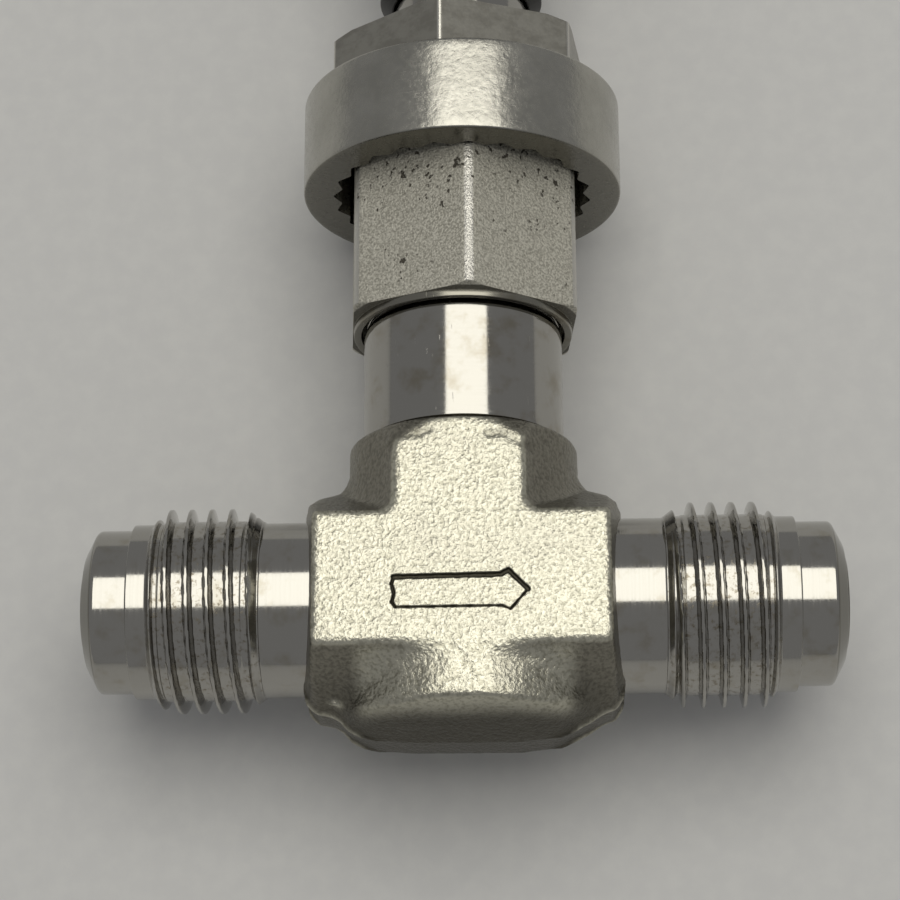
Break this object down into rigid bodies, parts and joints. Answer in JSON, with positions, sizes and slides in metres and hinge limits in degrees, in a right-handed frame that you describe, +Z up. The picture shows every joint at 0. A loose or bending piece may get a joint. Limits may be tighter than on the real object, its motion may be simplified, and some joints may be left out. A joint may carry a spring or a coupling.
{
  "type": "metering valve",
  "caption": "Bellows-sealed inline metering valve: forged T body with male face-seal ends, union nut, lock ring and black vernier handle.",
  "frame": {"origin": "where the flow axis meets the stem axis, on the inlet bore's axis", "axes": "+X is the flow direction, +Y runs up the stem to the handle, +Z is up with the valve lying on its back"},
  "size_m": [0.0528, 0.0859, 0.0234],
  "materials": {
    "forged_steel": "bead-blasted forging, polished where machined",
    "nut_steel": "blasted, pitted",
    "ring_steel": "satin, tumbled",
    "machined_steel": "fine turned",
    "black_anodised": "black anodised, satin",
    "black_screw": "black oxide",
    "gasket_nickel": "flat lapped",
    "brass": "turned"
  },
  "bodies": {
    "root": {"valve_body": "forged_steel", "bonnet_gasket": "gasket_nickel", "weld_ring": "machined_steel", "bellows": "machined_steel", "bonnet": "machined_steel", "union_nut": "nut_steel", "lock_ring": "ring_steel", "panel_nut": "nut_steel", "scale_sleeve": "machined_steel", "drive_nut": "brass"},
    "stem": {"stem": "machined_steel", "stem_tip": "machined_steel", "bellows_collar": "machined_steel", "anti_rotation_pin": "machined_steel"},
    "handle": {"retaining_ring": "machined_steel", "thrust_ball": "machined_steel", "actuator": "machined_steel", "thimble": "black_anodised", "handle_hub": "brass", "grip": "black_anodised", "set_screws": "black_screw", "end_cap": "black_anodised"}
  },
  "joints": [
    {"name": "stem_travel", "type": "slide", "parent": "root", "child": "stem", "axis": [0, 1, 0], "range_m": [0, 0.00317], "deforming": ["bellows"]},
    {"name": "handle_turn", "type": "hinge", "parent": "stem", "child": "handle", "pos_m": [0, 0.045, 0], "axis": [0, 1, 0], "range_deg": [0, 1800]}
  ],
  "couplings": [
    {"joint": "handle_turn", "follows": "stem_travel", "rad_per_m": 9894.8}
  ]
}
